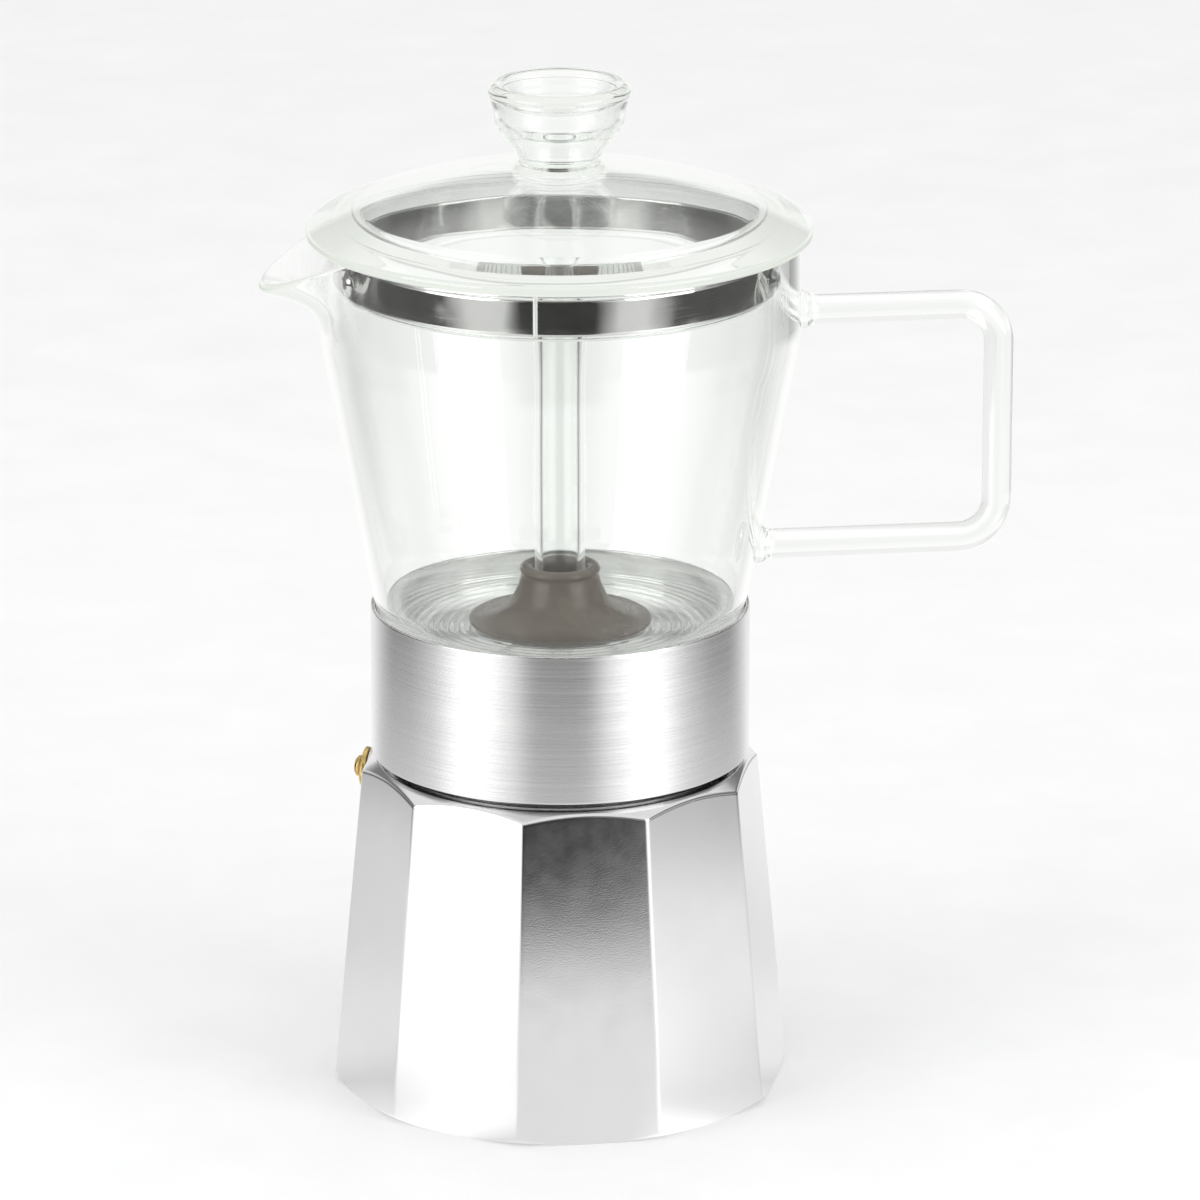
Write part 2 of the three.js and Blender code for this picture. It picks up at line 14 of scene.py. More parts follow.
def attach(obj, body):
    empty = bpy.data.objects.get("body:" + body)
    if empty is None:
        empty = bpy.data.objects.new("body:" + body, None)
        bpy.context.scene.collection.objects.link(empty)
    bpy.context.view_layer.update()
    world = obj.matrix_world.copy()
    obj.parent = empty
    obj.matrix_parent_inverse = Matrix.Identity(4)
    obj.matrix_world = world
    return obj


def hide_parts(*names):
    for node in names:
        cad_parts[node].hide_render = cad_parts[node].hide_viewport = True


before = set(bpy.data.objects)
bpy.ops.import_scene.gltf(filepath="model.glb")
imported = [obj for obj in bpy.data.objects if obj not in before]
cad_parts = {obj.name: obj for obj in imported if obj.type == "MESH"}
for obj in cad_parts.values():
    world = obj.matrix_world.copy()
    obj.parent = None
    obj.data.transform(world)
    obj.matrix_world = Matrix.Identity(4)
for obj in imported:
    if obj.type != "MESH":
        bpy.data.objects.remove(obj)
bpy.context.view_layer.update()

MM = 0.001
ROUND = 192  # columns round a large turned piece
SMALL_ROUND = 64  # columns round a small turned piece

# ---- Camera and studio ----

CAMERA_AZIMUTH = -7.31
CAMERA_ELEVATION = 16.84
CAMERA_DISTANCE = 1.84
CAMERA_LENS = 240.6
LOOK_HEIGHT = 0.1215
LOOK_RIGHT = 0.00913
LOOK_DOWN = 0.0068

# ---- Boiler ----

SIDES = 10
FACET = math.tau / SIDES
CORNER_BASE = 53.2
CORNER_LEAN = (53.2 - 45.9) / 77.5
CORNER_FILLET = 2.0
FOOT_RADIUS = 50.4
FOOT_SLOPE = 1.4
SHOULDER_RADIUS = 42.5
SHOULDER_SLOPE = 1.6
BOILER_TOP = 77.5
NECK_RADIUS = 38.9
NECK_BORE = 35.5
NECK_TOP = 89.5

# ---- Collar ----

COLLAR_RADIUS = 43.5
COLLAR_BOTTOM = 79.2
COLLAR_TOP = 114.2
CUP_RADIUS = 42.6
CUP_FLOOR = 107.2
RIDGE_PITCH = 2.4
RIDGE_HEIGHT = 0.5
BORE_RADIUS = 40.9

# ---- Jug ----

JUG_WALL = 2.6
JUG_BOTTOM = 107.5
JUG_HOLE = 8.2
JUG_RADIUS = 54.8
JUG_CONE_TOP = 177.5
JUG_TOP = 201.5
JUG_SLOPE = math.tan(math.radians(10.9))
SPOUT_HALF_ANGLE = math.radians(27)
SPOUT_TIP = (68.9, 190.6)

# ---- Handle ----

ROD_RADIUS = 3.4
GRIP_X = 101.4
UPPER_BAR = 181.5
LOWER_BAR = 126.1
BEND = 9.0
BAR_STEPS = 40
BEND_STEPS = 16
GRIP_STEPS = 12
ROD_COLUMNS = 40

# ---- Lid ----

LID_TOP = 216.4
LID_SPHERE = 136.0
LID_WALL = 2.4
LID_HOLE = 8.2
FLANGE_RADIUS = 57.7
SKIRT_RADIUS = 48.6
SKIRT_WALL = 2.2
SKIRT_BOTTOM = 189

# ---- Glass ----

MIRRORED_TOO_OFTEN = 2.5  # between the second and the third time that a ray is mirrored


# ---- Mesh helpers ----

def skin(rings, loop=False):
    """Points and faces of a surface through rings of points. A ring of one point closes an end."""
    points, starts, faces = [], [], []
    for ring in rings:
        starts.append(len(points))
        points.extend(ring)
    pairs = [(i, i + 1) for i in range(len(rings) - 1)]
    if loop:
        pairs.append((len(rings) - 1, 0))
    for lower, upper in pairs:
        low, high = starts[lower], starts[upper]
        count = max(len(rings[lower]), len(rings[upper]))
        for i in range(count):
            j = (i + 1) % count
            if len(rings[lower]) == 1:
                faces.append((low, high + j, high + i))
            elif len(rings[upper]) == 1:
                faces.append((low + i, low + j, high))
            else:
                faces.append((low + i, low + j, high + j, high + i))
    return points, faces


def ring_at(radius, height, columns):
    if radius < 1e-6:
        return [(0.0, 0.0, height)]
    angles = [math.tau * i / columns for i in range(columns)]
    return [(radius * math.cos(a), radius * math.sin(a), height) for a in angles]


def lathe(profile, columns=ROUND):
    """A turned piece. The profile runs anticlockwise, and closes on itself unless it starts on the axis."""
    rings = [ring_at(radius, height, columns) for radius, height in profile]
    return skin(rings, loop=profile[0][0] > 1e-6)


def joined(*parts):
    """One list of points and one of faces from several."""
    points, faces = [], []
    for more_points, more_faces in parts:
        offset = len(points)
        points.extend(more_points)
        faces.extend(tuple(corner + offset for corner in face) for face in more_faces)
    return points, faces


def rounded(corners, closed=True, steps=5, guard=0.25):
    """A profile whose corners, each (radius, height, fillet), are turned into arcs.

    A guard point on each side of an arc keeps the shading of the flat beside it flat.
    """
    places = [Vector(corner[:2]) for corner in corners]
    profile = []
    for i, corner in enumerate(corners):
        here = places[i]
        fillet = corner[2] if len(corner) > 2 else 0
        at_end = not closed and i in (0, len(corners) - 1)
        if fillet == 0 or at_end:
            profile.append(tuple(here))
            continue
        back = places[i - 1] - here
        ahead = places[(i + 1) % len(places)] - here
        turn = math.pi - back.angle(ahead)
        room = 0.45 * min(back.length, ahead.length)
        reach = min(fillet * math.tan(turn / 2), room)
        back.normalize()
        ahead.normalize()
        radius = reach / max(math.tan(turn / 2), 1e-9)
        middle = here + (back + ahead).normalized() * math.hypot(radius, reach)
        first = here + back * reach - middle
        last = here + ahead * reach - middle
        margin = min(guard, 0.1 * room)
        profile.append(tuple(here + back * (reach + margin)))
        for step in range(steps + 1):
            share = step / steps
            blend = first.lerp(last, 0.5 - math.tan(turn * (0.5 - share)) / (2 * math.tan(turn / 2)))
            profile.append(tuple(middle + blend.normalized() * radius))
        profile.append(tuple(here + ahead * (reach + margin)))
    return profile


def curve_through(knots, steps=6):
    """Points of a smooth curve through the knots."""
    places = [Vector(knot) for knot in knots]
    points = []
    for i in range(len(places) - 1):
        before = places[max(i - 1, 0)]
        start, end = places[i], places[i + 1]
        after = places[min(i + 2, len(places) - 1)]
        for step in range(steps):
            t = step / steps
            points.append(tuple(
                0.5 * (2 * start + (end - before) * t
                       + (2 * before - 5 * start + 4 * end - after) * t ** 2
                       + (3 * start - before - 3 * end + after) * t ** 3)
            ))
    points.append(tuple(places[-1]))
    return points


def helix_ridge(wall, crest, start, pitch=3.0, turns=2.25, steps=64):
    """A rounded thread ridge that rises out of its wall and fades back into it."""
    outward = math.copysign(1, crest - wall)
    root = wall - outward * 0.4
    count = round(turns * steps)
    rings = []
    for i in range(count + 1):
        turn = i / steps
        fade = min(1, min(i, count - i) / (0.15 * steps))
        top = root + outward * 0.1 + (crest - root - outward * 0.1) * fade
        height = start + pitch * turn
        section = [
            (root, height - 0.85), (0.4 * root + 0.6 * top, height - 0.6), (top, height - 0.3),
            (top, height + 0.3), (0.4 * root + 0.6 * top, height + 0.6), (root, height + 0.85),
        ]
        angle = math.tau * turn
        rings.append([(r * math.cos(angle), r * math.sin(angle), z) for r, z in section])
    caps = [[tuple(sum(axis) / 6 for axis in zip(*rings[end]))] for end in (0, -1)]
    return skin([caps[0], *rings, caps[1]])


def make_piece(name, shape, body, material, nodes=(), matrix=None, sharp=40):
    """A finished object from points in millimetres: normals outwards, smooth but for sharp edges."""
    points, faces = shape
    mesh = bpy.data.meshes.new(name)
    mesh.from_pydata([Vector(point) * MM for point in points], [], faces)
    work = bmesh.new()
    work.from_mesh(mesh)
    bmesh.ops.recalc_face_normals(work, faces=work.faces)
    if matrix is not None:
        bmesh.ops.transform(work, matrix=matrix, verts=work.verts)
    work.to_mesh(mesh)
    work.free()
    mesh.shade_smooth()
    mesh.set_sharp_from_angle(angle=math.radians(sharp))
    mesh.materials.append(material)
    piece = bpy.data.objects.new(name, mesh)
    bpy.context.scene.collection.objects.link(piece)
    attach(piece, body)
    if nodes:
        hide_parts(*nodes)
    return piece


# ---- Material helpers ----

class Nodes:
    """A node tree, with short calls for the nodes it is made of."""

    def __init__(self, tree):
        self.tree = tree

    def add(self, kind, inputs=None, **settings):
        node = self.tree.nodes.new(kind)
        for name, value in settings.items():
            setattr(node, name, value)
        for name, value in (inputs or {}).items():
            self.put(node.inputs[name], value)
        return node

    def put(self, socket, value):
        if isinstance(value, bpy.types.NodeSocket):
            self.tree.links.new(value, socket)
        else:
            socket.default_value = value

    def maths(self, operation, first, second=0.0):
        node = self.add("ShaderNodeMath", {0: first, 1: second}, operation=operation)
        return node.outputs[0]

    def grain(self, vector, scale, detail=4.0, roughness=0.55):
        node = self.add("ShaderNodeTexNoise", {
            "Vector": vector, "Scale": scale, "Detail": detail, "Roughness": roughness,
        })
        return node.outputs["Fac"]

    def spread(self, value, low, high, start=0.3, end=0.7):
        """A value spread from its usual range, start to end, over low to high."""
        node = self.add("ShaderNodeMapRange", {
            "Value": value, "From Min": start, "From Max": end, "To Min": low, "To Max": high,
        })
        return node.outputs[0]

    def ramp(self, value, *stops):
        """A colour from a value, with stops of (position, colour)."""
        node = self.add("ShaderNodeValToRGB", {"Fac": value})
        elements = node.color_ramp.elements
        for element, (position, colour) in zip(elements, (stops[0], stops[-1])):
            element.position = position
            element.color = (*colour, 1)
        for position, colour in stops[1:-1]:
            elements.new(position).color = (*colour, 1)
        return node.outputs["Color"]

    def blend(self, share, first, second):
        """A colour between two others."""
        node = self.add("ShaderNodeMix", data_type="RGBA")
        for socket, value in zip((node.inputs[0], node.inputs[6], node.inputs[7]), (share, first, second)):
            self.put(socket, value)
        return node.outputs[2]

    def between(self, share, first, second):
        """A number between two others."""
        return self.add("ShaderNodeMix", {"Factor": share, "A": first, "B": second}).outputs[0]

    def level(self, vector):
        """A vector without its height."""
        return self.add("ShaderNodeVectorMath", {0: vector, 1: (1, 1, 0)}, operation="MULTIPLY").outputs[0]

    def radius(self, vector):
        """How far a place is from the pot's axis."""
        node = self.add("ShaderNodeVectorMath", {0: self.level(vector)}, operation="LENGTH")
        return node.outputs["Value"]


class Shader(Nodes):
    """A new material and its node tree."""

    def __init__(self, name):
        self.material = bpy.data.materials.new(name)
        self.material.use_nodes = True
        super().__init__(self.material.node_tree)
        self.surface = self.tree.nodes["Principled BSDF"]
        self.output = self.tree.nodes["Material Output"]
        self.place = self.add("ShaderNodeTexCoord").outputs["Object"]

    def set(self, **values):
        """Sets the surface's inputs, named with underscores for spaces."""
        for name, value in values.items():
            self.put(self.surface.inputs[name.replace("_", " ")], value)

    def show_instead(self, share, other):
        """Puts another shader in the surface's place where share is 1."""
        mixed = self.add("ShaderNodeMixShader", {0: share, 1: self.surface.outputs[0], 2: other})
        self.put(self.output.inputs["Surface"], mixed.outputs[0])

    def scaled(self, x, y, z):
        node = self.add("ShaderNodeMapping", {"Vector": self.place, "Scale": (x, y, z)})
        return node.outputs[0]

    def bump(self, height, distance, strength=1.0, under=None):
        inputs = {"Height": height, "Distance": distance, "Strength": strength}
        if under is not None:
            inputs["Normal"] = under
        return self.add("ShaderNodeBump", inputs).outputs[0]

    def turning(self, fine, along):
        """Coordinates for lines left by a lathe: fine across them, long round the axis."""
        parts = self.add("ShaderNodeSeparateXYZ", {0: self.place}).outputs
        across = self.maths("MULTIPLY", self.radius(self.place), fine)
        up = self.maths("MULTIPLY", parts["Z"], fine)
        slow = self.maths("MULTIPLY", self.maths("ADD", parts["X"], parts["Y"]), along)
        return self.add("ShaderNodeCombineXYZ", {0: across, 1: slow, 2: up}).outputs[0]


def cast_aluminium():
    """Polished casting: satin, faintly mottled, with a fine sand grain and a few scratches."""
    s = Shader("cast_aluminium_polished")
    cloud = s.grain(s.place, 45, detail=3)
    sand = s.grain(s.place, 3200, detail=2)
    scratch = s.grain(s.scaled(1400, 1400, 60), 1, detail=3, roughness=0.7)
    s.set(
        Base_Color=s.ramp(cloud, (0.3, (0.76, 0.76, 0.765)), (0.7, (0.79, 0.79, 0.79))),
        Metallic=1.0,
        Roughness=s.spread(s.grain(s.place, 160, detail=4), 0.11, 0.16),
        Normal=s.bump(sand, 0.00001, under=s.bump(scratch, 0.000002)),
    )
    return s.material


def turned_aluminium():
    """Lathe-turned aluminium: brushed round the outside, and smoother in the cup's rings."""
    s = Shader("turned_aluminium_brushed")
    lines = s.grain(s.turning(5200, 26), 1, detail=5, roughness=0.7)
    streaks = s.grain(s.turning(2400, 20), 1, detail=4, roughness=0.65)
    tangent = s.add("ShaderNodeTangent", direction_type="RADIAL", axis="Z").outputs[0]
    cup = s.maths("LESS_THAN", s.radius(s.place), CUP_RADIUS * MM)
    rough = s.spread(streaks, 0.23, 0.31)
    s.set(
        Base_Color=s.ramp(streaks, (0.35, (0.7, 0.7, 0.7)), (0.65, (0.79, 0.79, 0.785))),
        Metallic=1.0,
        Roughness=s.maths("MULTIPLY", rough, s.spread(cup, 1.0, 0.3, 0.0, 1.0)),
        Anisotropic=0.6,
        Anisotropic_Rotation=0.25,
        Tangent=tangent,
        Normal=s.bump(lines, 0.000008),
    )
    return s.material


def pressed_aluminium():
    """Drawn sheet, duller than the outside, with a mottled etch."""
    s = Shader("pressed_aluminium_matt")
    cloud = s.grain(s.place, 90, detail=4)
    s.set(
        Base_Color=s.ramp(cloud, (0.3, (0.62, 0.625, 0.63)), (0.7, (0.74, 0.74, 0.745))),
        Metallic=1.0,
        Roughness=s.spread(cloud, 0.34, 0.46),
        Normal=s.bump(s.grain(s.turning(2400, 30), 1), 0.00004),
    )
    return s.material


def brass():
    """Turned brass, tarnished a little in its low places."""
    s = Shader("brass_turned")
    cloud = s.grain(s.place, 260, detail=5)
    s.set(
        Base_Color=s.ramp(
            cloud, (0.3, (0.42, 0.29, 0.1)), (0.55, (0.72, 0.52, 0.2)), (0.75, (0.86, 0.66, 0.3)),
        ),
        Metallic=1.0,
        Roughness=s.spread(cloud, 0.32, 0.18),
        Normal=s.bump(s.grain(s.place, 1800, detail=2), 0.00004),
    )
    return s.material


def spring_steel():
    """Bright rolled stainless strip with faint rolling lines and slow waves."""
    s = Shader("spring_steel_bright")
    lines = s.grain(s.turning(2600, 14), 1, detail=3)
    s.set(
        Base_Color=s.ramp(s.grain(s.place, 60), (0.3, (0.7, 0.695, 0.685)), (0.7, (0.78, 0.775, 0.765))),
        Metallic=1.0,
        Roughness=s.spread(lines, 0.05, 0.1),
        Normal=s.bump(lines, 0.000001, under=s.bump(s.grain(s.place, 75, detail=1), 0.0005)),
    )
    return s.material


def silicone():
    """Taupe moulded silicone with a soft satin skin."""
    s = Shader("silicone_taupe")
    cloud = s.grain(s.place, 110, detail=4)
    s.set(
        Base_Color=s.ramp(cloud, (0.3, (0.125, 0.096, 0.066)), (0.7, (0.15, 0.117, 0.084))),
        Roughness=s.spread(cloud, 0.22, 0.3),
        Specular_IOR_Level=0.4,
        Normal=s.bump(s.grain(s.place, 120, detail=2), 0.00002),
    )
    return s.material


def gasket_rubber():
    """Off-white food rubber, matt and slightly soiled."""
    s = Shader("gasket_rubber_white")
    cloud = s.grain(s.place, 140, detail=5)
    s.set(
        Base_Color=s.ramp(cloud, (0.3, (0.62, 0.58, 0.5)), (0.7, (0.78, 0.75, 0.68))),
        Roughness=s.spread(cloud, 0.5, 0.65),
        Normal=s.bump(s.grain(s.place, 1200, detail=3), 0.00005),
    )
    return s.material


def clear_glass():
    """Borosilicate glass: faintly green through its depth, with slow waves from blowing.

    A ray that has been mirrored too often meets a pale light instead. Real glass has no such light: it
    stands in for what the renderer drops from rays caught inside a rim, which would leave the rim black.
    """
    s = Shader("borosilicate_glass")
    waves = s.grain(s.scaled(34, 34, 20), 1, detail=1)
    s.set(
        Base_Color=s.ramp(s.grain(s.place, 18), (0.3, (0.985, 0.995, 0.985)), (0.7, (0.995, 1.0, 0.995))),
        Roughness=s.spread(s.grain(s.place, 220), 0.0, 0.012),
        IOR=1.472,
        Transmission_Weight=1.0,
        Normal=s.bump(waves, 0.0003, 0.6),
    )
    depth = s.add("ShaderNodeVolumeAbsorption", {"Color": (0.55, 0.85, 0.4, 1), "Density": 3.5})
    s.put(s.output.inputs["Volume"], depth.outputs[0])
    rays = s.add("ShaderNodeLightPath").outputs
    trapped = s.maths("GREATER_THAN", rays["Glossy Depth"], MIRRORED_TOO_OFTEN)
    pale = s.add("ShaderNodeEmission", {"Color": (0.9, 0.905, 0.89, 1), "Strength": 1.0})
    s.show_instead(trapped, pale.outputs[0])
    return s.material


CAST = cast_aluminium()
TURNED = turned_aluminium()
PRESSED = pressed_aluminium()
BRASS = brass()
STEEL = spring_steel()
SILICONE = silicone()
RUBBER = gasket_rubber()
GLASS = clear_glass()


# ---- Boiler ----

def facet_share(offset):
    """The body's radius at an angle from the middle of a facet, as a share of its corner radius."""
    flat = math.cos(FACET / 2)
    fillet = CORNER_FILLET / CORNER_BASE
    centre = (flat - fillet) / flat
    tangent = math.atan(centre * math.sin(FACET / 2) / flat)
    if abs(offset) <= tangent:
        return flat / math.cos(offset)
    turn = FACET / 2 - abs(offset)
    return centre * math.cos(turn) + math.sqrt(fillet ** 2 - (centre * math.sin(turn)) ** 2)


def facet_offsets():
    """Angles across one facet and round the corner after it, closer together near the corner."""
    tangent = math.atan(
        (math.cos(FACET / 2) - CORNER_FILLET / CORNER_BASE) * math.tan(FACET / 2) / math.cos(FACET / 2)
    )
    guard = math.radians(0.35)
    flat = tangent - guard
    across = [flat * (i / 6 - 1) for i in range(13)]
    corner = [tangent + (FACET - 2 * tangent) * i / 5 for i in range(5)]
    return [-tangent, *across, *corner]


def boiler_profile(share):
    base = CORNER_BASE * share
    lean = CORNER_LEAN * share
    foot = (base - FOOT_RADIUS) / (FOOT_SLOPE + lean)
    shoulder_start = SHOULDER_RADIUS + SHOULDER_SLOPE * BOILER_TOP
    shoulder = (shoulder_start - base) / (SHOULDER_SLOPE - lean)
    return rounded([
        (0, 0), (FOOT_RADIUS, 0, 0.3), (base - lean * foot, foot, 0.5),
        (base - lean * shoulder, shoulder, 1.4), (SHOULDER_RADIUS, BOILER_TOP, 0.5),
        (NECK_RADIUS, BOILER_TOP, 0.6), (NECK_RADIUS, NECK_TOP, 0.5), (NECK_BORE, NECK_TOP, 0.5),
        (NECK_BORE, 75.5, 2), (40.6, 71.5, 4), (46.5, 4, 3), (0, 4),
    ], closed=False)


def boiler():
    columns = []
    for side in range(SIDES):
        for offset in facet_offsets():
            angle = FACET * (side + 0.5) + offset
            columns.append((angle, boiler_profile(facet_share(offset))))
    rings = [[(0, 0, 0)]]
    for row in range(1, len(columns[0][1]) - 1):
        ring = []
        for angle, profile in columns:
            radius, height = profile[row]
            ring.append((radius * math.cos(angle), radius * math.sin(angle), height))
        rings.append(ring)
    rings.append([(0, 0, 4)])
    return joined(skin(rings), helix_ridge(NECK_RADIUS, 40.2, 80.1))


# ---- Safety valve, turned about +X from the facet outwards ----

VALVE_ANGLE = math.radians(162)
VALVE_HEIGHT = 71.3


def valve_place():
    flat = math.cos(FACET / 2)
    distance = (CORNER_BASE - CORNER_LEAN * VALVE_HEIGHT) * flat
    tilt = math.atan(CORNER_LEAN * flat)
    place = Vector((
        distance * math.cos(VALVE_ANGLE), distance * math.sin(VALVE_ANGLE), VALVE_HEIGHT,
    ))
    return (
        Matrix.Translation(place * MM)
        @ Matrix.Rotation(VALVE_ANGLE, 4, "Z")
        @ Matrix.Rotation(math.pi / 2 - tilt, 4, "Y")
    )


def valve_flange():
    return lathe(rounded([
        (2.7, -6.5, 0.2), (3.6, -6.5, 0.3), (3.6, 1.2, 0.1), (4.7, 1.2, 0.2), (4.7, 2.2, 0.3),
        (3.9, 2.6, 0.3), (1.35, 2.6, 0.1), (1.35, 1, 0.1), (2.7, 1, 0.1),
    ]), SMALL_ROUND)


def valve_button():
    return lathe(rounded([
        (0, -7), (1.05, -7, 0.2), (1.05, -5.4, 0.1), (2.4, -5.4, 0.15), (2.4, -4.6, 0.15),
        (1.05, -4.6, 0.1), (1.05, 2.9, 0.1), (2.45, 2.9, 0.25), (2.45, 3.6, 0.5),
        (1.6, 4.25, 0.6), (0, 4.4),
    ], closed=False), SMALL_ROUND)


# ---- Inside parts ----

def funnel():
    return lathe(rounded([
        (4, 8, 0.2), (5.2, 8, 0.3), (5.2, 58, 2), (33.2, 66, 4), (33.2, 89.8, 0.5),
        (38.4, 89.8, 0.2), (38.4, 90.7, 0.3), (31.9, 90.7, 0.5), (31.9, 68.7, 0.2),
        (30.6, 68.7, 0.2), (30.6, 66.6, 2), (4, 59, 2),
    ]))


def nozzle():
    return lathe(rounded([
        (3, 100.2, 0.3), (7, 100.2, 0.3), (7, 101.2, 0.3), (4.5, 101.2, 0.4), (4.5, 116, 0.5),
        (3, 116, 0.3),
    ]), SMALL_ROUND)


def gasket():
    return lathe(rounded([(28, 91, 0.6), (39.5, 91, 0.6), (39.5, 94, 0.6), (28, 94, 0.6)]))


# ---- Collar ----

def cup_ridges():
    """The turned rings in the cup's floor, from the wall inwards."""
    outer, inner, spacing = 41.4, 13.6, 0.2
    count = round((outer - inner) / spacing)
    ridges = []
    for i in range(count + 1):
        radius = outer - spacing * i
        wave = 0.5 + 0.5 * math.cos(math.tau * (radius - inner) / RIDGE_PITCH)
        ridges.append((radius, CUP_FLOOR - RIDGE_HEIGHT + RIDGE_HEIGHT * wave ** 0.8))
    return ridges


def collar():
    low = CUP_FLOOR - RIDGE_HEIGHT
    profile = rounded([
        (BORE_RADIUS, COLLAR_BOTTOM, 0.3), (COLLAR_RADIUS, COLLAR_BOTTOM, 0.4),
        (COLLAR_RADIUS, COLLAR_TOP, 0.3), (CUP_RADIUS, COLLAR_TOP, 0.25), (CUP_RADIUS, low, 0.8),
        *cup_ridges(),
        (12, CUP_FLOOR, 0.3), (12, 104.7, 0.5), (4.8, 104.7, 0.3), (4.8, 101.5, 0.2), (8, 101.5, 0.5),
        (33.9, 95.7, 0.2), (33.9, 94.3, 0.2), (39.8, 94.3, 0.2), (39.8, 91.1, 0.1),
        (BORE_RADIUS, 91.1, 0.1),
    ])
    points, faces = lathe(profile, 256)
    worn = []
    for x, y, z in points:
        burr = noise.noise(Vector((x, y, 0)) * 0.9) + 0.6 * noise.noise(Vector((x, y, 9)) * 2.3)
        worn.append((x, y, z + 0.09 * burr if z > COLLAR_TOP - 0.25 else z))
    return joined((worn, faces), helix_ridge(BORE_RADIUS, 39.6, 81.6))


# ---- Jug ----

def spout_outline(t):
    """Place and direction of the spout's middle line, at a share t of the way up the rim wall."""
    tip = Vector(SPOUT_TIP)
    a = Vector((JUG_RADIUS, JUG_CONE_TOP))
    b = Vector((JUG_RADIUS, JUG_CONE_TOP + 11))
    c = Vector((JUG_RADIUS + 5, tip.y - 4))
    s = 1 - t
    place = a * s ** 3 + b * 3 * s ** 2 * t + c * 3 * s * t ** 2 + tip * t ** 3
    direction = (b - a) * s ** 2 + (c - b) * 2 * s * t + (tip - c) * t ** 2
    return place, direction.normalized()


def pulled(point):
    """Moves a point of the plain rim wall into the spout's pouring lip."""
    x, y, z = point
    turn = abs(math.pi - abs(math.atan2(y, x)))
    if z <= JUG_CONE_TOP or turn >= SPOUT_HALF_ANGLE:
        return point
    place, direction = spout_outline((z - JUG_CONE_TOP) / (JUG_TOP - JUG_CONE_TOP))
    radius = math.hypot(x, y)
    depth = JUG_RADIUS - radius
    share = math.cos(math.pi / 2 * turn / SPOUT_HALF_ANGLE) ** 2
    new_radius = place.x - depth * direction.y
    new_height = place.y + depth * direction.x
    scale = 1 + share * (new_radius - radius) / radius
    return x * scale, y * scale, z + share * (new_height - z)


def jug():
    inset = JUG_WALL / math.cos(math.atan(JUG_SLOPE))
    inner_radius = JUG_RADIUS - JUG_WALL
    floor_top = JUG_BOTTOM + JUG_WALL
    outer_corner = JUG_RADIUS - (JUG_CONE_TOP - JUG_BOTTOM) * JUG_SLOPE
    inner_corner = JUG_RADIUS - inset - (JUG_CONE_TOP - floor_top) * JUG_SLOPE
    rim_levels = [JUG_TOP - 2.5 * i for i in range(1, 7)]
    profile = rounded([
        (JUG_HOLE, JUG_BOTTOM, 0.9), (outer_corner, JUG_BOTTOM, 11.5),
        (JUG_RADIUS, JUG_CONE_TOP, 70),
        *[(JUG_RADIUS, level) for level in reversed(rim_levels)],
        (JUG_RADIUS, JUG_TOP, 1.29), (inner_radius, JUG_TOP, 1.29),
        *[(inner_radius, level) for level in rim_levels],
        (inner_radius, JUG_CONE_TOP + 0.3, 70), (inner_corner, floor_top, 9),
        (JUG_HOLE, floor_top, 0.9),
    ], steps=10)
    points, faces = lathe(profile, 288)
    return [pulled(point) for point in points], faces


def wall_x(y, z):
    """How far out along +X the jug's outer face is."""
    radius = JUG_RADIUS - max(0, JUG_CONE_TOP - z) * JUG_SLOPE
    return math.sqrt(radius ** 2 - y ** 2)


def rod_radius(distance):
    """The rod's radius at a distance from a weld, where the glass has melted into a collar."""
    knots = [(0, 4.7), (0.9, 4.75), (1.9, 4.3), (2.8, 3.75), (4.2, ROD_RADIUS)]
    for (start, low), (end, high) in zip(knots, knots[1:]):
        if distance <= end:
            share = (distance - start) / (end - start)
            return low + (high - low) * share * share * (3 - 2 * share)
    return ROD_RADIUS


